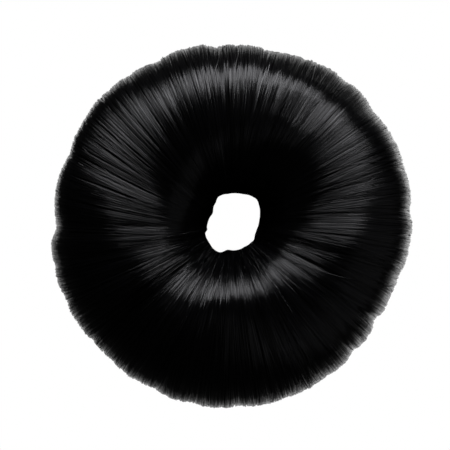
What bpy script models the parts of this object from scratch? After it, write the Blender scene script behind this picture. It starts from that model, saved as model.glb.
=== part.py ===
"""Top knot hair ring: a doughnut of combed black synthetic fibre with a sewn band round its hole.

Metres, +Z up. The ring lies flat with the origin under its middle, on the surface that it rests on.
Azimuths are in degrees, clockwise from +Y as seen from above.
"""

import math

import bmesh
import bpy
from mathutils import Vector

MM = 0.001

# Driving dimensions of the fibre pile
PILE_HALF_HEIGHT = 17.3 * MM
REST_FLATTENING = 1.0 * MM
RING_MIDDLE_Z = PILE_HALF_HEIGHT - REST_FLATTENING

# Driving dimensions of the band that binds the fibres in the hole
BAND_HEIGHT = 8.0 * MM
BAND_THICKNESS = 1.0 * MM
BAND_EDGE_RADIUS = 0.35 * MM
BAND_RECESS = 0.5 * MM
SEAT_GAP = 0.3 * MM

# Each row is one lock of fibres, from its parting to the next one's.
# parting_mm and crest_mm are how far the rim reaches at the parting and at the middle of the lock.
# hole_mm is how far the hole reaches at the parting.
LOCK_COLUMNS = ("parting_deg", "parting_mm", "crest_mm", "hole_mm")
LOCK_ROWS = (
    (12, 44.4, 45.8, 8.4),
    (38, 45.6, 46.0, 9.2),
    (51, 45.2, 45.6, 8.5),
    (71, 44.9, 45.1, 7.2),
    (85, 44.2, 44.7, 6.5),
    (106, 43.1, 43.1, 6.1),
    (115, 42.7, 43.1, 6.2),
    (123, 42.4, 43.8, 6.3),
    (136, 42.9, 44.1, 6.0),
    (147, 43.8, 44.4, 5.9),
    (163, 44.4, 45.0, 5.9),
    (178, 44.5, 45.3, 5.9),
    (193, 44.8, 45.3, 5.9),
    (206, 44.7, 45.1, 7.1),
    (221, 44.6, 45.0, 7.3),
    (232, 44.9, 45.4, 7.1),
    (247, 45.0, 45.5, 7.0),
    (258, 45.2, 45.5, 7.0),
    (270, 43.9, 45.1, 6.4),
    (294, 44.5, 46.2, 6.3),
    (326, 45.2, 45.6, 7.5),
    (335, 45.1, 45.9, 8.3),
    (355, 44.5, 45.2, 8.4),
)
LOCKS = [dict(zip(LOCK_COLUMNS, row)) for row in LOCK_ROWS]

# How the locks are drawn: sections along each, and how squarely a lock fills out beside its parting
SECTIONS_PER_LOCK = 6
LOCK_FULLNESS = 2.4
TOP_RELIEF = 0.45

# How finely one section is drawn, and the angle past which an edge is shaded as a sharp one
OUTER_ARC_STEPS = 18
UNDER_ARC_STEPS = 4
BAND_CORNER_STEPS = 2
SECTIONS_PER_BAND_STEP = 2
SHARP_EDGE_DEG = 40


def wrapped(rows, index, key, degrees=False):
    """A column's value at any index round the ring; azimuths go on rising past a full turn."""
    turns, place = divmod(index, len(rows))
    return rows[place][key] + (360.0 * turns if degrees else 0.0)


def through(before, here, after, beyond, share):
    """A smooth curve (Catmull-Rom) from here to after, as share goes from 0 to 1."""
    return 0.5 * (
        2 * here
        + (after - before) * share
        + (2 * before - 5 * here + 4 * after - beyond) * share**2
        + (3 * here - before - 3 * after + beyond) * share**3
    )


def smooth_column(key, lock, share):
    """A column of the table, read smoothly between one parting and the next."""
    near = [wrapped(LOCKS, lock + step, key) for step in (-1, 0, 1, 2)]
    return through(*near, share) * MM


def lock_relief(lock, share):
    """How far the lock stands out of the line through the partings: nothing at either parting."""
    row = LOCKS[lock]
    beside = (row["parting_mm"] + wrapped(LOCKS, lock + 1, "parting_mm")) / 2
    fullness = 1 - abs(2 * share - 1) ** LOCK_FULLNESS
    return (row["crest_mm"] - beside) * MM * fullness


def sections():
    """Every section round the ring: its azimuth, its reach at the rim and the hole, and its lock's relief."""
    found = []
    for lock in range(len(LOCKS)):
        start = wrapped(LOCKS, lock, "parting_deg", degrees=True)
        end = wrapped(LOCKS, lock + 1, "parting_deg", degrees=True)
        for step in range(SECTIONS_PER_LOCK):
            share = step / SECTIONS_PER_LOCK
            found.append(
                {
                    "azimuth": math.radians(start + (end - start) * share),
                    "rim": smooth_column("parting_mm", lock, share),
                    "hole": smooth_column("hole_mm", lock, share),
                    "relief": lock_relief(lock, share),
                }
            )
    return found


def spread(start, end, steps):
    """Evenly spaced values from start to end, with both ends."""
    return [start + (end - start) * step / steps for step in range(steps + 1)]


# The angles at which a section leaves its oval: at the flat that it rests on, and at the band's seat.
# They turn from 0 at the rim, over the top, to a half turn at the hole.
FLAT_ANGLE = math.asin(RING_MIDDLE_Z / PILE_HALF_HEIGHT)
SEAT_HALF_HEIGHT = BAND_HEIGHT / 2 + SEAT_GAP
SEAT_ANGLE = math.asin(SEAT_HALF_HEIGHT / PILE_HALF_HEIGHT)


def relief_weight(angle):
    """How much of a lock's relief shows: all at the rim, less on top, none at the hole or the flat."""
    if angle < 0:
        return (1 + math.cos(math.pi * angle / FLAT_ANGLE)) / 2
    if angle <= math.pi / 2:
        return TOP_RELIEF + (1 - TOP_RELIEF) * math.cos(angle)
    fall = (angle - math.pi / 2) / (math.pi / 2 - SEAT_ANGLE)
    return TOP_RELIEF * max(0.0, 1 - fall)


def pile_profile(section):
    """The pile's outline at one section, as (distance from the ring's axis, height)."""
    half_width = (section["rim"] - section["hole"]) / (1 + math.cos(SEAT_ANGLE))
    middle = section["rim"] - half_width
    wall = section["hole"] + BAND_RECESS + BAND_THICKNESS + SEAT_GAP

    def on_oval(angle):
        stand_out = section["relief"] * relief_weight(angle)
        across = middle + (half_width + stand_out) * math.cos(angle)
        return across, RING_MIDDLE_Z + (PILE_HALF_HEIGHT + stand_out) * math.sin(angle)

    over = spread(-FLAT_ANGLE, math.pi - SEAT_ANGLE, OUTER_ARC_STEPS)
    under = spread(math.pi + SEAT_ANGLE, math.pi + FLAT_ANGLE, UNDER_ARC_STEPS)
    seat = [
        (wall, RING_MIDDLE_Z + SEAT_HALF_HEIGHT),
        (wall, RING_MIDDLE_Z - SEAT_HALF_HEIGHT),
    ]
    return [on_oval(angle) for angle in over] + seat + [on_oval(angle) for angle in under]


def band_profile(section):
    """The band's outline at one section: a flat tape on edge, with rounded edges."""
    inner = section["hole"] + BAND_RECESS
    outer = inner + BAND_THICKNESS
    corners = (
        (outer, 1, 0.0),
        (inner, 1, 0.5),
        (inner, -1, 1.0),
        (outer, -1, 1.5),
    )
    profile = []
    for across, side, half_turns in corners:
        inwards = -1 if across == outer else 1
        centre_across = across + inwards * BAND_EDGE_RADIUS
        centre_up = RING_MIDDLE_Z + side * (BAND_HEIGHT / 2 - BAND_EDGE_RADIUS)
        for turn in spread(half_turns * math.pi, (half_turns + 0.5) * math.pi, BAND_CORNER_STEPS):
            profile.append(
                (
                    centre_across + BAND_EDGE_RADIUS * math.cos(turn),
                    centre_up + BAND_EDGE_RADIUS * math.sin(turn),
                )
            )
    return profile


def off_centre(ring):
    """How far the middle of the rim's own box lies from the axis that the azimuths turn about."""
    reach = [section["rim"] + section["relief"] for section in ring]
    across = [r * math.sin(s["azimuth"]) for r, s in zip(reach, ring)]
    along = [r * math.cos(s["azimuth"]) for r, s in zip(reach, ring)]
    return Vector(((min(across) + max(across)) / 2, (min(along) + max(along)) / 2, 0))


def loft(name, ring, profile_of, centre, material, parent):
    """One closed solid, bridged from section to section all the way round the ring."""
    shape = bmesh.new()
    loops = []
    for section in ring:
        outwards = Vector((math.sin(section["azimuth"]), math.cos(section["azimuth"]), 0))
        points = [
            shape.verts.new(outwards * across + Vector((0, 0, up)) - centre)
            for across, up in profile_of(section)
        ]
        loops.append([shape.edges.new(pair) for pair in zip(points, points[1:] + points[:1])])
    for here, after in zip(loops, loops[1:] + loops[:1]):
        bmesh.ops.bridge_loops(shape, edges=here + after)
    bmesh.ops.recalc_face_normals(shape, faces=shape.faces)
    mesh = bpy.data.meshes.new(name)
    shape.to_mesh(mesh)
    shape.free()
    mesh.materials.append(material)
    mesh.shade_smooth()
    mesh.set_sharp_from_angle(angle=math.radians(SHARP_EDGE_DEG))
    solid = bpy.data.objects.new(name, mesh)
    bpy.context.scene.collection.objects.link(solid)
    solid.parent = parent
    return solid


def finish(name, colour, roughness):
    """A plain dyed fibre finish."""
    material = bpy.data.materials.new(name)
    material.use_nodes = True
    surface = material.node_tree.nodes["Principled BSDF"]
    surface.inputs["Base Color"].default_value = (*colour, 1)
    surface.inputs["Roughness"].default_value = roughness
    surface.inputs["Metallic"].default_value = 0.0
    return material


def main():
    for old in list(bpy.data.objects):
        bpy.data.objects.remove(old)

    ring = sections()
    centre = off_centre(ring)
    hair_ring = bpy.data.objects.new("hair_ring", None)
    bpy.context.scene.collection.objects.link(hair_ring)

    # The pile: fibres combed from the hole over the rim and back underneath, one mass right through
    glossy_fibre = finish("glossy_black_fibre", (0.006, 0.006, 0.007), 0.3)
    loft("fibre_pile", ring, pile_profile, centre, glossy_fibre, hair_ring)

    # The band: a narrow tape sewn round the hole, over the ends of the fibres
    woven_tape = finish("black_woven_tape", (0.01, 0.01, 0.011), 0.8)
    loft("binding_band", ring[::SECTIONS_PER_BAND_STEP], band_profile, centre, woven_tape, hair_ring)


main()
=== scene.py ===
"""A top knot hair ring: a padded doughnut of combed black synthetic fibre, with a narrow tape in its hole.

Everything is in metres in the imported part's frame. Places round the ring are given in turns, clockwise
from +Y as seen from above, and places along a fibre go from 0 at the hole's upper lip, over the crown, the
rim and the underside, to 1 at the hole's lower lip.
"""

import math

import bpy
import numpy as np
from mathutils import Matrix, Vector
from mathutils.bvhtree import BVHTree


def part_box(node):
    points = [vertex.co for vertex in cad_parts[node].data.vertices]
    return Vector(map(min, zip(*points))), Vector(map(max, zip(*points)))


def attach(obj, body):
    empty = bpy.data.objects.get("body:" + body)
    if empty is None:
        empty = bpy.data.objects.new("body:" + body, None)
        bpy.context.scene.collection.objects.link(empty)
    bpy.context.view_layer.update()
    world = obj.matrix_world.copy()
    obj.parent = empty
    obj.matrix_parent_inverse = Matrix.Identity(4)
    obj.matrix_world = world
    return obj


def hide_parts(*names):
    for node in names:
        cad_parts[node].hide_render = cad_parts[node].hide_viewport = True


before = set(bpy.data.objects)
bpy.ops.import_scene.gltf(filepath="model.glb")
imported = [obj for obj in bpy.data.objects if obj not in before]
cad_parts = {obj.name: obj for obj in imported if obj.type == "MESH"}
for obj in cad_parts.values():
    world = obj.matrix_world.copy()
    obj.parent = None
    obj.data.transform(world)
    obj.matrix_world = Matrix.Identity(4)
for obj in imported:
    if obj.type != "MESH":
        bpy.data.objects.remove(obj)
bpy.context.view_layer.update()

# The body of the pile: many thousand fibres of black modacrylic, combed from the hole over the rim and back
# underneath, and heat-set in smooth, overlapping locks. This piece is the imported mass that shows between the
# fibres of the top layer, so it has the pile's true form and is ridged where fibres lie side by side.
MM = 0.001
TURN = 2 * math.pi
PILE_NODE = "fibre_pile"
BAND_NODE = "binding_band"
SEAT_GAP = 0.3 * MM

pile_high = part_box(PILE_NODE)[1]
band_low, band_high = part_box(BAND_NODE)
waist_height = (band_low[2] + band_high[2]) / 2
lip_height = (band_high[2] - band_low[2]) / 2 + SEAT_GAP
OVAL_HALF_HEIGHT = 17.3 * MM
lip_angle = math.asin(lip_height / OVAL_HALF_HEIGHT)

FORM_AZIMUTHS = 720
FORM_STEPS = 120
FORM_MARGIN = math.radians(2)
JUST_ABOVE_LIP = 0.1 * MM
BLUR_REACH = 3


def outwards(turns):
    """Unit vectors away from the ring's axis, one for each azimuth."""
    return np.stack([np.sin(TURN * turns), np.cos(TURN * turns), np.zeros_like(turns)], axis=-1)


def measured_form():
    """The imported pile's outer form, as grids of distance from the axis and of height."""
    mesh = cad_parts[PILE_NODE].data
    solid = BVHTree.FromPolygons([v.co for v in mesh.vertices], [p.vertices for p in mesh.polygons])
    last_angle = math.pi - lip_angle - FORM_MARGIN
    angles = np.linspace(last_angle, -last_angle, FORM_STEPS - 2)
    form = np.zeros((2, FORM_AZIMUTHS, FORM_STEPS))
    waist = Vector((0, 0, waist_height))
    above_lip = waist + Vector((0, 0, lip_height + JUST_ABOVE_LIP))
    for row, away in enumerate(outwards(np.arange(FORM_AZIMUTHS) / FORM_AZIMUTHS)):
        away = Vector(away)
        rim = solid.ray_cast(waist + away * 2 * pile_high[0], -away)[0].xy.length
        hole = solid.ray_cast(above_lip, away)[0].xy.length
        half_width = (rim - hole) / (1 + math.cos(lip_angle))
        middle = waist + away * (rim - half_width)
        form[:, row, 0] = hole, waist_height + lip_height
        form[:, row, -1] = hole, waist_height - lip_height
        for column, angle in enumerate(angles, start=1):
            towards = away * half_width * math.cos(angle)
            towards.z = OVAL_HALF_HEIGHT * math.sin(angle)
            place = solid.ray_cast(middle, towards)[0]
            form[:, row, column] = place.xy.length, place.z
    return form


def blurred(values, steps, axis, closed):
    """The values, softened along one axis over that many steps; a closed axis runs on round the ring."""
    reach = int(BLUR_REACH * steps) + 1
    weights = np.exp(-0.5 * (np.arange(-reach, reach + 1) / steps) ** 2)
    margin = [(0, 0)] * values.ndim
    margin[axis] = (reach, reach)
    if closed:
        wide = np.pad(values, margin, mode="wrap")
    else:
        wide = np.pad(values, margin, mode="reflect", reflect_type="odd")
    length = values.shape[axis]
    layers = [w * np.take(wide, range(k, k + length), axis) for k, w in enumerate(weights / weights.sum())]
    return sum(layers)


def read_grid(grid, turns, along):
    """Reads a grid of the ring between its rows and columns."""
    rows, columns = grid.shape
    row = (turns % 1.0) * rows
    column = np.clip(along, 0, 1) * (columns - 1)
    row_below = np.floor(row).astype(int)
    column_below = np.minimum(np.floor(column).astype(int), columns - 2)
    row_share = row - row_below
    column_share = column - column_below
    row_below %= rows
    row_above = (row_below + 1) % rows
    near = grid[row_below, column_below] * (1 - row_share) + grid[row_above, column_below] * row_share
    far = grid[row_below, column_below + 1] * (1 - row_share) + grid[row_above, column_below + 1] * row_share
    return near * (1 - column_share) + far * column_share


FORM_SOFTNESS_ROUND = 1.0
FORM_SOFTNESS_ALONG = 2.2
form = blurred(measured_form(), FORM_SOFTNESS_ROUND, axis=1, closed=True)
reach_grid, height_grid = blurred(form, FORM_SOFTNESS_ALONG, axis=2, closed=False)

# A few tufts stand out of the ring's outline and a few hollows lie in it. Each row is one of them, with how
# far it reaches to either side and how much further out it puts the rim and the hole's lips.
TUFT_COLUMNS = ("azimuth_deg", "arc_deg", "rim_mm", "hole_mm")
TUFT_ROWS = (
    (11, 5, 0.4, 0.1),
    (36, 4, 0.4, -0.1),
    (66, 5, 0.3, 0.0),
    (95, 4, -0.4, -0.1),
    (108, 9, 0.0, -0.2),
    (128, 3, -0.4, -0.1),
    (148, 4, 0.2, -0.1),
    (163, 4, 0.2, 0.0),
    (211, 2, -0.3, 0.0),
    (218, 4, 0.3, 0.0),
    (246, 4, 0.3, 0.1),
    (263, 3, -0.1, -0.4),
    (307, 8, -0.5, -0.6),
    (325, 4, 0.4, -0.1),
    (354, 4, 0.7, -0.1),
)
TUFT_SHARPNESS = 8


def soft_bump(places, middle, run):
    """A soft bump: one at its middle, and nearly nothing past three runs from it."""
    return np.exp(-0.5 * ((places - middle) / run) ** 2)


def tufts_and_hollows():
    """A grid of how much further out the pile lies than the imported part, all at the rim and the lips."""
    azimuths = 360 * np.arange(FORM_AZIMUTHS) / FORM_AZIMUTHS
    along = np.linspace(0, 1, FORM_STEPS)
    at_rim = np.sin(math.pi * along) ** TUFT_SHARPNESS
    at_lips = np.cos(math.pi * along) ** TUFT_SHARPNESS
    grid = np.zeros((FORM_AZIMUTHS, FORM_STEPS))
    for row in TUFT_ROWS:
        tuft = dict(zip(TUFT_COLUMNS, row))
        off_middle = (azimuths - tuft["azimuth_deg"] + 180) % 360 - 180
        reached = soft_bump(off_middle, 0, tuft["arc_deg"])
        grid += np.outer(reached, tuft["rim_mm"] * at_rim + tuft["hole_mm"] * at_lips) * MM
    return grid


edge_grid = tufts_and_hollows()
reach_grid += edge_grid

steps_out = np.gradient(reach_grid, axis=1)
steps_up = np.gradient(height_grid, axis=1)
step_lengths = np.hypot(steps_out, steps_up)
out_share_grid = -steps_up / step_lengths
up_share_grid = steps_out / step_lengths
fibre_length = float(step_lengths.mean(axis=0).sum())
rim_length = TURN * float(reach_grid.max(axis=1).mean())


def on_pile(turns, along, lift):
    """Points that stand off the pile's form by the lift, square to it."""
    reach = read_grid(reach_grid, turns, along) + lift * read_grid(out_share_grid, turns, along)
    height = read_grid(height_grid, turns, along) + lift * read_grid(up_share_grid, turns, along)
    places = outwards(turns) * reach[..., None]
    places[..., 2] = height
    return places


# The pile isn't an even oval. Each row is one section of it: how full it is at the lip, how far along the
# fibres its fullest ridge lies and how high that is, and how full it is behind the ridge and near the rim.
SECTION_COLUMNS = ("azimuth_deg", "lip_mm", "ridge_place", "ridge_mm", "back_mm", "rim_mm")
SECTION_ROWS = (
    (0, 0.0, 0.19, 0.7, -0.2, -0.1),
    (15, 0.0, 0.19, 0.9, -0.3, -0.2),
    (30, 0.0, 0.20, 1.4, -0.5, -0.9),
    (45, 0.0, 0.19, 0.8, 0.0, -0.4),
    (60, 0.0, 0.15, 0.8, -0.2, 0.5),
    (75, 0.0, 0.13, 0.7, -0.1, 0.9),
    (90, 0.0, 0.10, 0.6, 0.1, 0.7),
    (105, 0.1, 0.11, 0.5, 0.0, 0.5),
    (120, -0.1, 0.13, 0.7, -0.3, 0.3),
    (135, -0.4, 0.14, 1.3, -0.3, 0.2),
    (150, -0.6, 0.17, 1.6, 0.2, -0.1),
    (165, -0.7, 0.18, 1.6, 0.5, -0.1),
    (180, -0.6, 0.175, 2.1, 0.0, -0.1),
    (195, -0.6, 0.19, 2.2, 0.0, 0.0),
    (210, -0.9, 0.21, 1.5, 0.0, 0.0),
    (225, -0.6, 0.22, 1.2, 0.0, 0.0),
    (240, -0.7, 0.24, 1.4, 0.1, 0.0),
    (255, -0.1, 0.15, 0.7, 0.1, 0.2),
    (270, 0.0, 0.14, 0.6, 0.1, 0.6),
    (285, 0.0, 0.14, 1.1, -0.3, 1.4),
    (300, 0.0, 0.14, 0.6, -0.3, 1.7),
    (315, 0.0, 0.14, 1.1, -0.2, 1.0),
    (330, 0.1, 0.16, 0.8, 0.1, -0.1),
    (345, 0.0, 0.17, 0.7, 0.0, -0.3),
)
LIP_PLACE = 0.045
BACK_PLACE = 0.28
RIM_FULL_PLACE = 0.395
RIDGE_RUN = 0.042
NARROW_RUN = 0.030
FULLNESS_SOFTNESS = 6
sections = [dict(zip(SECTION_COLUMNS, row)) for row in SECTION_ROWS]


def fullness():
    """A grid of how much the pile stands out of its oval, soft both ways."""
    turns = np.arange(FORM_AZIMUTHS) / FORM_AZIMUTHS
    along = np.linspace(0, 1, FORM_STEPS)
    azimuths = [section["azimuth_deg"] / 360 for section in sections]

    def round_ring(key):
        return np.interp(turns, azimuths, [section[key] for section in sections], period=1)[:, None]

    grid = round_ring("ridge_mm") * soft_bump(along, round_ring("ridge_place"), RIDGE_RUN)
    for key, place in (("lip_mm", LIP_PLACE), ("back_mm", BACK_PLACE), ("rim_mm", RIM_FULL_PLACE)):
        grid += round_ring(key) * soft_bump(along, place, NARROW_RUN)
    return blurred(grid * MM, FULLNESS_SOFTNESS, 0, closed=True)


fullness_grid = fullness()

NOISE_AZIMUTHS = 4096
NOISE_STEPS = 160


def combed_noise(seed, across_mm, along_mm):
    """A grid of soft random heights, drawn out along the fibres, with a spread of one."""
    rough = np.random.default_rng(seed).standard_normal((NOISE_AZIMUTHS, NOISE_STEPS))
    across = across_mm * MM / rim_length * NOISE_AZIMUTHS
    along = along_mm * MM / fibre_length * NOISE_STEPS
    soft = blurred(blurred(rough, across, 0, closed=True), along, 1, closed=False)
    return soft / soft.std()


LOCK_RELIEF = 0.08 * MM
lock_noise = combed_noise(seed=11, across_mm=2.6, along_mm=16)

# The fibres cling together in fine wisps, these in wisps, the wisps in strands, and the strands in tresses
# that overlap like shingles. Each clump stands a little higher or lower than its neighbours, is rounded
# across, leans its own way and is tilted its own way along its length. The valleys between clumps come and
# go. The gathering is how quickly a kind of clump gets rounder where the hole draws it in.
CLUMP_COLUMNS = (
    "seed",
    "count",
    "height_mm",
    "valley_mm",
    "lean_deg",
    "round_deg",
    "tilt_deg",
    "tilt_run_mm",
    "gathering",
)
TRESS_ROW = (31, 104, 0.07, 0.14, 1.4, 2.8, 0.5, 9, 1.8)
STRAND_ROW = (33, 230, 0.05, 0.10, 1.0, 4.0, 0.6, 7, 1.5)
WISP_ROW = (35, 480, 0.03, 0.06, 0.7, 6.0, 0.9, 6, 1.2)
FINE_WISP_ROW = (32, 900, 0.03, 0.05, 0.7, 9.0, 1.7, 5, 0.5)
CLUMP_STEPS = 60
EDGE_SPREAD = 0.4
HEIGHT_SPREAD = 0.7
VALLEY_UNEVENNESS = 0.7
VALLEY_SHARPNESS = 3
CLUMP_ROLL = 0.6


def clump_table(row):
    """Random neighbouring clumps of fibre round the ring: where they meet, and how each one lies."""
    table = dict(zip(CLUMP_COLUMNS, row))
    rng = np.random.default_rng(table["seed"])
    count = table["count"]
    run = table["tilt_run_mm"] * MM / fibre_length * CLUMP_STEPS
    table["edges"] = (np.arange(count) + rng.uniform(-EDGE_SPREAD, EDGE_SPREAD, count)) / count
    table["heights"] = rng.laplace(0, HEIGHT_SPREAD * table["height_mm"] * MM, count)
    table["leans"] = np.radians(rng.normal(0, table["lean_deg"], count))
    table["rolls"] = rng.normal(0, CLUMP_ROLL, count)
    tilts = blurred(rng.standard_normal((count, CLUMP_STEPS)), run, 1, closed=False)
    table["tilts"] = np.radians(table["tilt_deg"]) * tilts / tilts.std()
    depths = blurred(rng.standard_normal((count, CLUMP_STEPS)), run, 1, closed=False)
    unevenness = VALLEY_UNEVENNESS * depths / depths.std()
    table["valleys"] = table["valley_mm"] * MM * np.maximum(1 + unevenness, 0)
    return table


clump_kinds = [clump_table(row) for row in (TRESS_ROW, STRAND_ROW, WISP_ROW, FINE_WISP_ROW)]


def clump_places(clumps, turns):
    """Which clump each azimuth belongs to, and how far it is from its middle: -1 and 1 are its edges."""
    turns = turns % 1.0
    number = np.searchsorted(clumps["edges"], turns) - 1
    start = clumps["edges"][number] - (number < 0)
    end = clumps["edges"][(number + 1) % clumps["count"]]
    end = end + (end < start)
    return number, 2 * (turns - start) / (end - start) - 1


def of_clump(clumps, key, number, along):
    """What a clump's own grid holds at these places along it."""
    return read_grid(clumps[key], number / clumps["count"], along)


LIP_RUN = 0.10


def lip_fade(along):
    """Goes smoothly from 0 at either lip of the hole to 1 a little way along."""
    share = np.clip(np.minimum(along, 1 - along) / LIP_RUN, 0, 1)
    return share * share * (3 - 2 * share)


def comb_relief(turns_at_rim, turns, along):
    """How far the pile stands in or out of its oval; all its locks and clumps meet evenly at the hole."""
    relief = read_grid(fullness_grid, turns, along) + LOCK_RELIEF * read_grid(lock_noise, turns, along)
    for clumps in clump_kinds:
        number, across = clump_places(clumps, turns_at_rim)
        valley = of_clump(clumps, "valleys", number, along)
        relief = relief + clumps["heights"][number] - valley * np.abs(across) ** VALLEY_SHARPNESS
    return relief * lip_fade(along)


def above_table(places, clearance):
    """The same places, with none lower than what the ring rests on."""
    places[..., 2] = np.maximum(places[..., 2], clearance)
    return places


def cell_corners(grid):
    """The four corners of each cell of a grid, in order round the cell."""
    return np.stack([grid[:-1, :-1], grid[:-1, 1:], grid[1:, 1:], grid[1:, :-1]], axis=2)


def mesh_piece(name, corners, faces, corner_uvs, material, corner_normals=None):
    """A smooth mesh piece from arrays of corners, of faces, and of the faces' own UVs and normals."""
    mesh = bpy.data.meshes.new(name)
    sizes = np.concatenate([np.full(len(group), group.shape[1]) for group in faces])
    loops = np.concatenate([group.ravel() for group in faces])
    mesh.vertices.add(len(corners))
    mesh.vertices.foreach_set("co", corners.astype(np.float32).ravel())
    mesh.loops.add(len(loops))
    mesh.loops.foreach_set("vertex_index", loops.astype(np.int32))
    mesh.polygons.add(len(sizes))
    mesh.polygons.foreach_set("loop_start", (np.cumsum(sizes) - sizes).astype(np.int32))
    layer = mesh.uv_layers.new(name="OFBake")
    layer.data.foreach_set("uv", corner_uvs.astype(np.float32).ravel())
    mesh.update(calc_edges=True)
    mesh.shade_smooth()
    if corner_normals is not None:
        mesh.normals_split_custom_set(corner_normals.astype(np.float32))
    mesh.materials.append(material)
    piece = bpy.data.objects.new(name, mesh)
    bpy.context.scene.collection.objects.link(piece)
    return piece


def linear(hex_colour):
    """An sRGB hex colour as linear red, green, blue and alpha."""
    channels = [int(hex_colour[k : k + 2], 16) / 255 for k in (1, 3, 5)]
    return (*[c / 12.92 if c <= 0.04045 else ((c + 0.055) / 1.055) ** 2.4 for c in channels], 1.0)


def add_node(tree, kind, settings=None, **inputs):
    """Adds a node with its settings; each input takes a value or another node's output."""
    node = tree.nodes.new(kind)
    for name, value in (settings or {}).items():
        setattr(node, name, value)
    for name, value in inputs.items():
        socket = node.inputs[int(name[1:])] if name[0] == "_" else node.inputs[name.replace("_", " ")]
        if isinstance(value, bpy.types.NodeSocket):
            tree.links.new(value, socket)
        else:
            socket.default_value = value
    return node


# Drawn as coarse as it needs to show: a dye streak is as wide as a wisp, and the gloss changes from fibre to
# fibre.
STREAK_WIDTH = 0.3 * MM
STREAK_LENGTH = 12 * MM
GLOSS_WIDTH = 0.12 * MM
GLOSS_LENGTH = 60 * MM


def modacrylic_fibre(name, layout_width, layout_length, bump_mm):
    """Combed black modacrylic: nearly black all through, with a silky band of gloss across the fibres.

    Each fibre is smooth lengthways, so the gloss is sharp along it and wide across it. The layout's width and
    length are what its UV map spans on the real thing.
    """
    material = bpy.data.materials.new(name)
    material.use_nodes = True
    tree = material.node_tree
    tree.nodes.clear()
    layout = add_node(tree, "ShaderNodeUVMap", {"uv_map": "OFBake"}).outputs["UV"]
    streak_scale = (layout_width / STREAK_WIDTH, layout_length / STREAK_LENGTH, 1.0)
    streaks = add_node(tree, "ShaderNodeMapping", Vector=layout, Scale=streak_scale)
    dye = add_node(tree, "ShaderNodeTexNoise", Vector=streaks.outputs["Vector"], Scale=1.0, Detail=2.0)
    shades = add_node(tree, "ShaderNodeValToRGB", Fac=dye.outputs["Fac"])
    shades.color_ramp.elements[0].position = 0.3
    shades.color_ramp.elements[0].color = linear("#050505")
    shades.color_ramp.elements[1].position = 0.7
    shades.color_ramp.elements[1].color = linear("#09090b")
    gloss_scale = (layout_width / GLOSS_WIDTH, layout_length / GLOSS_LENGTH, 1.0)
    gloss_layout = add_node(tree, "ShaderNodeMapping", Vector=layout, Scale=gloss_scale)
    gloss_place = gloss_layout.outputs["Vector"]
    gloss = add_node(tree, "ShaderNodeTexNoise", Vector=gloss_place, Scale=1.0, Detail=1.0)
    roughness = add_node(
        tree,
        "ShaderNodeMapRange",
        Value=gloss.outputs["Fac"],
        From_Min=0.3,
        From_Max=0.7,
        To_Min=0.30,
        To_Max=0.50,
    )
    along_fibre = add_node(tree, "ShaderNodeTangent", {"direction_type": "UV_MAP", "uv_map": "OFBake"})
    surface = add_node(
        tree,
        "ShaderNodeBsdfPrincipled",
        Base_Color=shades.outputs["Color"],
        Roughness=roughness.outputs["Result"],
        IOR=1.52,
        Anisotropic=1.0,
        Tangent=along_fibre.outputs["Tangent"],
    )
    if bump_mm:
        streak_height = dye.outputs["Fac"]
        ridges = add_node(tree, "ShaderNodeBump", Height=streak_height, Distance=bump_mm * MM, Strength=1.0)
        tree.links.new(ridges.outputs["Normal"], surface.inputs["Normal"])
    add_node(tree, "ShaderNodeOutputMaterial", Surface=surface.outputs["BSDF"])
    return material


BODY_AZIMUTHS = 1440
BODY_STEPS = 60
BODY_SINK = 0.15 * MM
SEAT_DEPTH = 1.8 * MM


def pile_body():
    """The body of the pile, closed round the seat of the band in the hole."""
    turns = np.arange(BODY_AZIMUTHS) / BODY_AZIMUTHS
    turns_grid, along_grid = np.meshgrid(turns, np.linspace(0, 1, BODY_STEPS), indexing="ij")
    lift = comb_relief(turns_grid, turns_grid, along_grid) - BODY_SINK
    skin = above_table(on_pile(turns_grid, along_grid, lift), 0.0)
    seat = skin[:, [-1, 0]].copy()
    depth = SEAT_DEPTH - read_grid(edge_grid, turns, np.zeros_like(turns))
    seat[..., :2] *= 1 + depth[:, None, None] / np.linalg.norm(seat[..., :2], axis=-1, keepdims=True)
    rings = np.concatenate([skin, seat], axis=1)
    columns = rings.shape[1]
    row = np.arange(BODY_AZIMUTHS + 1)
    column = np.arange(columns + 1)
    index = (row % BODY_AZIMUTHS) * columns + (column % columns)[:, None]
    layout = np.stack(np.meshgrid(row / BODY_AZIMUTHS, column / columns), axis=-1)
    material = modacrylic_fibre("modacrylic_packed", rim_length, fibre_length, bump_mm=0.05)
    return mesh_piece(
        "pile_body",
        rings.reshape(-1, 3),
        [cell_corners(index).reshape(-1, 4)],
        cell_corners(layout),
        material,
    )


body_piece = pile_body()
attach(body_piece, "root")
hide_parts(PILE_NODE)

# The top layer: smooth modacrylic fibres that lie singly on the body. Each is combed from the hole over the
# rim and underneath to the hole again, where its ends are caught at the band. They are drawn 0.17 mm wide,
# twice a real fibre's width, because finer ones wouldn't show.
FIBRE_WIDTH = 0.17 * MM
FIBRE_RISE = 0.05 * MM
FIBRES_PER_LAYER = 1180
LAYERS = 4
CROWN_RINGS = 19
UNDER_RINGS = 8
CROWN_END = 0.56
LAYER_LIFT = 0.10 * MM
RIM_STAND = 0.28 * MM
LIP_SINK = 0.05 * MM
TIP_TUCK = 0.9 * MM
TAPER_REACH = 0.6
TAPER_LEAST = 0.35
MIDDLE_CLEARANCE = 0.03 * MM
SIDE_CLEARANCE = 0.005 * MM

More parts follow.
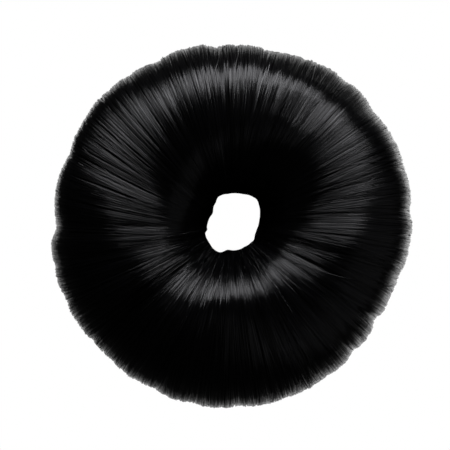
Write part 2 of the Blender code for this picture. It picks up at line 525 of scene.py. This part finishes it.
# How each fibre differs from its clump, and the few stray ones that cross over the others. The fibres lie
# more loosely round the rim, where they bend the most.
LAYER_SEED = 100
OWN_WANDER = 0.0004
OWN_WAVES = (0.5, 1.6)
OWN_WIDTH = (0.75, 1.25)
OWN_LEAN_DEG = 0.5
OWN_LIFT = 0.04 * MM
OWN_TILT_DEG = 2.0
EDGE_TURN_DEG = 26
GATHERED_FROM = 0.8
RIM_PLACE = 0.48
RIM_WIDTH = 0.06
RIM_LOOSENESS = 1.5
STRAY_SHARE = 0.07
STRAY_LEAN_DEG = 6
STRAY_LIFT = 0.05 * MM
STRAY_TILT_DEG = 3

# How the ring is combed, read between these azimuths. The lean is the angle from straight outwards: a
# positive one carries the inner end anticlockwise. The roll is how far the fibres' upper sides are turned
# clockwise. The clumping is how round the clumps are, and the looseness how unevenly the fibres lie
# lengthways: 1 is usual.
COMBING_COLUMNS = ("azimuth_deg", "lean_deg", "roll_deg", "clumping", "looseness")
COMBING_ROWS = (
    (0, 0, 0, 1.1, 1.1),
    (30, 0, 12, 0.7, 0.7),
    (45, 1, -2, 0.4, 0.5),
    (60, 2, 3, 0.5, 0.5),
    (77, 3, 6, 0.8, 0.6),
    (91, 4, -10, 0.8, 0.7),
    (105, 5, 12, 0.9, 1.0),
    (120, 2, -20, 1.0, 1.0),
    (150, 0, -28, 1.1, 0.9),
    (170, 0, -12, 1.2, 0.9),
    (198, -1, 11, 1.4, 1.0),
    (212, -1, 3, 1.7, 1.1),
    (228, -2, -37, 2.4, 1.2),
    (242, -2, -6, 2.2, 1.3),
    (260, 2, -9, 0.9, 0.9),
    (285, 5, -6, 0.45, 0.7),
    (300, 5, 12, 0.45, 0.6),
    (315, 3, -5, 0.6, 0.7),
    (330, 1, -3, 0.7, 0.8),
    (345, 0, -7, 0.9, 1.0),
)
combing = [dict(zip(COMBING_COLUMNS, row)) for row in COMBING_ROWS]


def combed(key, turns):
    """A column of the combing table at these azimuths."""
    azimuths = [row["azimuth_deg"] / 360 for row in combing]
    return np.interp(turns % 1.0, azimuths, [row[key] for row in combing], period=1)


def wound_round():
    """How many turns a fibre that leans by 45 degrees has wound round the ring on its way from the rim."""
    reach = reach_grid.mean(axis=0)
    wound = np.cumsum(step_lengths.mean(axis=0) / reach) / TURN
    return wound[int(np.argmax(reach))] - wound


wound_grid = np.tile(wound_round(), (2, 1))


def unit(vectors):
    """The vectors at length one."""
    return vectors / np.linalg.norm(vectors, axis=-1, keepdims=True)


def gathered(clumps, along):
    """How much rounder the clumps are where the hole gathers them in: 1 near the rim, more further in."""
    reach = read_grid(np.tile(reach_grid.mean(axis=0), (2, 1)), np.zeros_like(along), along)
    return (GATHERED_FROM * reach_grid.max() / reach) ** clumps["gathering"]


def loose_fibres(layer, along):
    """The random fibres of one layer: how each one starts, leans, wanders, lies and is turned."""
    rng = np.random.default_rng(LAYER_SEED + layer)
    count = FIBRES_PER_LAYER
    start = (np.arange(count) + rng.uniform(-0.5, 0.5, count)) / count + layer / (LAYERS * count)
    start = start[:, None]

    def spread(size):
        return rng.normal(0, size, (count, 1))

    stray = rng.uniform(size=(count, 1)) < STRAY_SHARE
    fibres = {
        "start": start,
        "wander": spread(OWN_WANDER),
        "waves": rng.uniform(*OWN_WAVES, (count, 1)),
        "phase": rng.uniform(0, 1, (count, 1)),
        "lean": np.tan(np.radians(combed("lean_deg", start) + spread(OWN_LEAN_DEG))),
        "stray_lean": stray * np.radians(spread(STRAY_LEAN_DEG)),
        "lift": LAYER_LIFT * (layer - (LAYERS - 1) / 2) + spread(OWN_LIFT) + stray * STRAY_LIFT,
        "width": FIBRE_WIDTH * rng.uniform(*OWN_WIDTH, (count, 1)),
    }
    own_tilt = np.radians(spread(OWN_TILT_DEG)) + stray * np.radians(spread(STRAY_TILT_DEG))
    at_rim = np.exp(-0.5 * ((along - RIM_PLACE) / RIM_WIDTH) ** 2)
    tilt = own_tilt * (1 + RIM_LOOSENESS * at_rim)
    roll = np.zeros_like(start)
    for clumps in clump_kinds:
        number, across = clump_places(clumps, start)
        rounded = gathered(clumps, along)
        fibres["lean"] = fibres["lean"] + clumps["leans"][number]
        roll = roll + math.radians(clumps["round_deg"]) * (across + clumps["rolls"][number]) * rounded
        tilt = tilt + of_clump(clumps, "tilts", number, along) * np.sqrt(rounded)
    fibres["roll"] = np.radians(combed("roll_deg", start)) + roll * combed("clumping", start)
    fibres["tilt"] = tilt * combed("looseness", start)
    return fibres


def fibre_turns(fibres, along):
    """Where round the ring each fibre runs."""
    wave = np.sin(TURN * (along * fibres["waves"] + fibres["phase"]))
    wound = read_grid(wound_grid, np.zeros_like(along), along)
    leaning = fibres["lean"] * np.maximum(wound, 0) + fibres["stray_lean"] * wound
    return fibres["start"] + fibres["wander"] * wave - leaning


def fibre_middle(fibres, turns, along):
    """The middle line of each fibre, laid on the pile."""
    lift = comb_relief(fibres["start"], turns, along) - LIP_SINK
    lift = lift + (fibres["lift"] + RIM_STAND) * lip_fade(along)
    return above_table(on_pile(turns, along, lift), MIDDLE_CLEARANCE)


NEAR_ALONG = 0.008
NEAR_ROUND = 0.0008


def fibre_directions(fibres, along):
    """Unit vectors along, across and up out of each fibre."""
    before = np.clip(along - NEAR_ALONG, 0, 1)
    after = np.clip(along + NEAR_ALONG, 0, 1)
    tangent = unit(
        fibre_middle(fibres, fibre_turns(fibres, after), after)
        - fibre_middle(fibres, fibre_turns(fibres, before), before)
    )
    turns = fibre_turns(fibres, along)
    clockwise = fibre_middle(fibres, turns + NEAR_ROUND, along)
    sideways = clockwise - fibre_middle(fibres, turns - NEAR_ROUND, along)
    sideways = unit(sideways - tangent * (sideways * tangent).sum(axis=2, keepdims=True))
    return tangent, sideways, np.cross(sideways, tangent)


def strip_faces(count, rings):
    """Faces of closed three-sided strips: four-sided along them, and three triangles to each tip."""
    sides = np.arange(rings)[:, None] * 3 + np.array([0, 1, 2, 0])
    quads = cell_corners(sides).reshape(-1, 4)
    first_tip, last_tip = rings * 3, rings * 3 + 1
    last = (rings - 1) * 3
    triangles = [[first_tip, (k + 1) % 3, k] for k in range(3)]
    triangles += [[last_tip, last + k, last + (k + 1) % 3] for k in range(3)]
    first_corner = (np.arange(count) * (rings * 3 + 2))[:, None, None]
    return [(quads + first_corner).reshape(-1, 4), (np.array(triangles) + first_corner).reshape(-1, 3)]


CELL_MARGIN_ACROSS = 0.08
CELL_MARGIN_ALONG = 0.04


def strip_layout(count, rings, cells):
    """UVs of those faces: each strip has its own square cell, so that no two of them overlap."""
    u = CELL_MARGIN_ACROSS + (1 - 2 * CELL_MARGIN_ACROSS) * np.arange(4) / 3
    v = CELL_MARGIN_ALONG + (1 - 2 * CELL_MARGIN_ALONG) * (np.arange(rings) + 1) / (rings + 1)
    quads = cell_corners(np.stack(np.meshgrid(u, v), axis=-1)).reshape(-1, 2)
    middle_u = (u[:-1] + u[1:]) / 2
    low, high = CELL_MARGIN_ALONG, 1 - CELL_MARGIN_ALONG
    tips = [((middle_u[k], low), (u[k + 1], v[0]), (u[k], v[0])) for k in range(3)]
    tips += [((middle_u[k], high), (u[k], v[-1]), (u[k + 1], v[-1])) for k in range(3)]
    tips = np.array(tips).reshape(-1, 2)
    number = np.arange(count)
    origin = np.stack([number % cells, number // cells], axis=-1)[:, None] / cells
    return np.concatenate([(quads / cells + origin).reshape(-1, 2), (tips / cells + origin).reshape(-1, 2)])


def strip_normals(fibres, tangent, sideways, upwards):
    """Normals of those faces: round across each fibre, then rolled and tilted as it lies in its clump."""
    tilt = fibres["tilt"][..., None]
    edge = math.radians(EDGE_TURN_DEG)
    facing = []
    for side in (-1, 0, 1):
        roll = (fibres["roll"] + edge * side)[..., None]
        square = upwards * np.cos(roll) + sideways * np.sin(roll)
        facing.append(square * np.cos(tilt) + tangent * np.sin(tilt))
    edges_of_sides = ((facing[0], facing[1]), (facing[1], facing[2]), (-upwards, -upwards))
    quads = []
    for left, right in edges_of_sides:
        quads.append(np.stack([left[:, :-1], right[:, :-1], right[:, 1:], left[:, 1:]], axis=2))
    tips = [np.stack([facing[1][:, end]] * 9, axis=1) for end in (0, -1)]
    return np.concatenate([np.stack(quads, axis=2).reshape(-1, 3), np.stack(tips, axis=1).reshape(-1, 3)])


def fibre_layer(layer, material, cells):
    """One joined mesh of fibres: closed three-sided strips with a rounded top, pointed at both ends."""
    crown = np.linspace(0.0, CROWN_END, CROWN_RINGS)
    under = np.linspace(CROWN_END, 1.0, UNDER_RINGS + 1)[1:]
    rings = CROWN_RINGS + UNDER_RINGS
    count = FIBRES_PER_LAYER
    along = np.broadcast_to(np.concatenate([crown, under]), (count, rings))
    fibres = loose_fibres(layer, along)
    middle = fibre_middle(fibres, fibre_turns(fibres, along), along)
    tangent, sideways, upwards = fibre_directions(fibres, along)

    reach = np.linalg.norm(middle[..., :2], axis=2, keepdims=True)
    taper = np.clip(reach / (TAPER_REACH * reach_grid.max()), TAPER_LEAST, 1.0)
    half_width = sideways * taper * fibres["width"][..., None] / 2
    ridge = middle + upwards * FIBRE_RISE * taper
    strips = np.stack([middle - half_width, ridge, middle + half_width], axis=2)
    strips = above_table(strips, SIDE_CLEARANCE).reshape(count, -1, 3)
    tips = middle[:, [0, -1]] - upwards[:, [0, -1]] * TIP_TUCK
    return mesh_piece(
        "fibre_layer_%d" % (layer + 1),
        np.concatenate([strips, tips], axis=1).reshape(-1, 3),
        strip_faces(count, rings),
        strip_layout(count, rings, cells),
        material,
        strip_normals(fibres, tangent, sideways, upwards),
    )


layout_cells = math.ceil(math.sqrt(FIBRES_PER_LAYER))
fibre_finish = modacrylic_fibre(
    "modacrylic_fibres", layout_cells * FIBRE_WIDTH, layout_cells * fibre_length, bump_mm=0
)
for layer in range(LAYERS):
    piece = fibre_layer(layer, fibre_finish, layout_cells)
    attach(piece, "root")
    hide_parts(PILE_NODE)

# The binding band: a narrow black polyester tape, in a plain weave of half-millimetre threads, sewn round the
# hole over the ends of the fibres. Its matt threads catch hardly any light, and the gaps between them are
# darkened with painted shade.
THREAD = 0.5 * MM
WEAVE_DEPTH = 0.06 * MM
band_middle = [(low + high) / 2 for low, high in zip(band_low, band_high)]
band_radius = (band_high[0] - band_low[0]) / 2
threads_round = round(TURN * band_radius / THREAD)


def polyester_tape():
    """Plain-woven black polyester: matt threads that stand out by turns, with a painted shade that darkens the
    gaps between them.
    """
    material = bpy.data.materials.new("polyester_tape")
    material.use_nodes = True
    tree = material.node_tree
    tree.nodes.clear()
    place = add_node(tree, "ShaderNodeTexCoord")
    from_middle = add_node(
        tree, "ShaderNodeVectorMath", {"operation": "SUBTRACT"}, _0=place.outputs["Object"], _1=band_middle
    )
    part = add_node(tree, "ShaderNodeSeparateXYZ", Vector=from_middle.outputs["Vector"])
    across, along = part.outputs["X"], part.outputs["Y"]
    azimuth = add_node(tree, "ShaderNodeMath", {"operation": "ARCTAN2"}, _0=across, _1=along)
    round_phase = add_node(
        tree, "ShaderNodeMath", {"operation": "MULTIPLY"}, _0=azimuth.outputs[0], _1=threads_round / 2
    )
    up_phase = add_node(
        tree, "ShaderNodeMath", {"operation": "MULTIPLY"}, _0=part.outputs["Z"], _1=math.pi / THREAD
    )
    warp = add_node(tree, "ShaderNodeMath", {"operation": "SINE"}, _0=round_phase.outputs[0]).outputs[0]
    weft = add_node(tree, "ShaderNodeMath", {"operation": "SINE"}, _0=up_phase.outputs[0]).outputs[0]
    weave = add_node(tree, "ShaderNodeMath", {"operation": "MULTIPLY"}, _0=warp, _1=weft)
    # Painted shade: the tape's colour is darkest where the weave crosses zero, in the gaps between the
    # threads, and lighter on their crests.
    painted_gap_shade = add_node(tree, "ShaderNodeMath", {"operation": "ABSOLUTE"}, _0=weave.outputs[0])
    shades = add_node(tree, "ShaderNodeValToRGB", Fac=painted_gap_shade.outputs[0])
    shades.color_ramp.elements[0].color = linear("#040405")
    shades.color_ramp.elements[1].color = linear("#131315")
    bump = add_node(tree, "ShaderNodeBump", Height=weave.outputs[0], Distance=WEAVE_DEPTH)
    surface = add_node(
        tree,
        "ShaderNodeBsdfPrincipled",
        Base_Color=shades.outputs["Color"],
        Roughness=0.75,
        Normal=bump.outputs["Normal"],
        Sheen_Weight=0.15,
    )
    add_node(tree, "ShaderNodeOutputMaterial", Surface=surface.outputs["BSDF"])
    return material


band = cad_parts[BAND_NODE]
band.data.materials.clear()
band.data.materials.append(polyester_tape())

# The stage: a pale light table, a softbox on the far side, a weak one at the right, and a dim room.
PHOTO_SIDE = 450
MM_PER_PIXEL = 0.25
OBJECT_CENTRE_PIXEL = (231.75, 226.9)
LENS_MM = 120
SENSOR_MM = 36.0
FLOOR_RADIUS = 4.0
FLOOR_DROP = 0.4 * MM


def glowing(name):
    """A material that only gives off white light, as opal acrylic does over a light table."""
    material = bpy.data.materials.new(name)
    material.use_nodes = True
    tree = material.node_tree
    tree.nodes.clear()
    shine = add_node(tree, "ShaderNodeEmission", Color=linear("#ffffff"), Strength=1.0)
    add_node(tree, "ShaderNodeOutputMaterial", Surface=shine.outputs[0])
    return material


DISC_CORNERS = 128


def flat_disc(name, radius, drop, material):
    """A flat round piece of the stage, that far under the ring."""
    bpy.ops.mesh.primitive_circle_add(vertices=DISC_CORNERS, radius=radius, fill_type="NGON")
    disc = bpy.context.object
    disc.location.z = -drop
    disc.name = name
    disc.data.materials.append(material)
    return disc


# What the camera sees: a wide white floor. The ring's gloss doesn't show it.
floor = flat_disc("white_floor", FLOOR_RADIUS, FLOOR_DROP, glowing("white_paper"))
floor.visible_glossy = False
floor.visible_diffuse = False

# What the ring's gloss shows of the floor: a bright border round the ring, soft at its outer edge, a weaker
# light further out at the right, and nothing through the hole.
PATCH_RADIUS = 0.25
PATCH_DROP = 0.2 * MM
BORDER_MIDDLE_MM = (7, 3)
BORDER_REACH_MM = (54, 80)
BORDER_STRENGTHS = (1.15, 0.03)
SIDE_MIDDLE_MM = (58, 8)
SIDE_REACH_MM = (20, 85)
SIDE_STRENGTHS = (0.45, 0.0)
HOLE_REACH_MM = (36, 46)
patch = flat_disc("lit_patch", PATCH_RADIUS, PATCH_DROP, glowing("opal_acrylic"))
patch.visible_camera = False
tree = patch.data.materials[0].node_tree
place = add_node(tree, "ShaderNodeNewGeometry").outputs["Position"]


def faded(middle_mm, reach_mm, strengths):
    """A light on the floor that goes softly from one strength to another as one moves off its middle."""
    middle = (middle_mm[0] * MM, middle_mm[1] * MM, 0)
    away = add_node(tree, "ShaderNodeVectorMath", {"operation": "DISTANCE"}, _0=place, _1=middle)
    return add_node(
        tree,
        "ShaderNodeMapRange",
        {"interpolation_type": "SMOOTHSTEP"},
        Value=away.outputs["Value"],
        From_Min=reach_mm[0] * MM,
        From_Max=reach_mm[1] * MM,
        To_Min=strengths[0],
        To_Max=strengths[1],
    ).outputs[0]


border = faded(BORDER_MIDDLE_MM, BORDER_REACH_MM, BORDER_STRENGTHS)
side = faded(SIDE_MIDDLE_MM, SIDE_REACH_MM, SIDE_STRENGTHS)
beyond_hole = faded((0, 0), HOLE_REACH_MM, (0.0, 1.0))
both = add_node(tree, "ShaderNodeMath", {"operation": "ADD"}, _0=border, _1=side)
lit = add_node(tree, "ShaderNodeMath", {"operation": "MULTIPLY"}, _0=both.outputs[0], _1=beyond_hole)
tree.links.new(lit.outputs[0], tree.nodes["Emission"].inputs["Strength"])

ROOM_STRENGTH = 0.014
room = bpy.data.worlds.new("dim_room")
bpy.context.scene.world = room
room.use_nodes = True
room.node_tree.nodes["Background"].inputs["Color"].default_value = linear("#ffffff")
room.node_tree.nodes["Background"].inputs["Strength"].default_value = ROOM_STRENGTH


def softbox(name, azimuth_deg, elevation_deg, distance, width, height, power):
    """A rectangular softbox that faces the ring's waist."""
    light = bpy.data.lights.new(name, "AREA")
    light.shape = "RECTANGLE"
    light.size = width
    light.size_y = height
    light.energy = power
    light.color = linear("#fafaff")[:3]
    lamp = bpy.data.objects.new(name, light)
    bpy.context.scene.collection.objects.link(lamp)
    azimuth, elevation = math.radians(azimuth_deg), math.radians(elevation_deg)
    towards = Vector(
        (
            math.sin(azimuth) * math.cos(elevation),
            math.cos(azimuth) * math.cos(elevation),
            math.sin(elevation),
        )
    )
    lamp.location = Vector((0, 0, waist_height)) + towards * distance
    lamp.rotation_mode = "QUATERNION"
    lamp.rotation_quaternion = towards.to_track_quat("Z", "Y")
    return lamp


softbox("key_softbox", azimuth_deg=8, elevation_deg=22.5, distance=0.6, width=0.50, height=0.31, power=3.8)
softbox("fill_softbox", azimuth_deg=112, elevation_deg=30, distance=0.6, width=0.35, height=0.55, power=0.15)

camera = bpy.data.objects.new("camera", bpy.data.cameras.new("camera"))
bpy.context.scene.collection.objects.link(camera)
camera.data.lens = LENS_MM
camera.data.sensor_width = SENSOR_MM
frame_width = PHOTO_SIDE * MM_PER_PIXEL * MM
distance = frame_width * LENS_MM / SENSOR_MM
off_right = (OBJECT_CENTRE_PIXEL[0] - PHOTO_SIDE / 2) * MM_PER_PIXEL * MM
off_down = (OBJECT_CENTRE_PIXEL[1] - PHOTO_SIDE / 2) * MM_PER_PIXEL * MM
camera.location = (-off_right, off_down, waist_height + distance)
camera.rotation_euler = (0, 0, 0)
camera.data.clip_end = 50
bpy.context.scene.camera = camera
bpy.context.scene.view_settings.view_transform = "Standard"
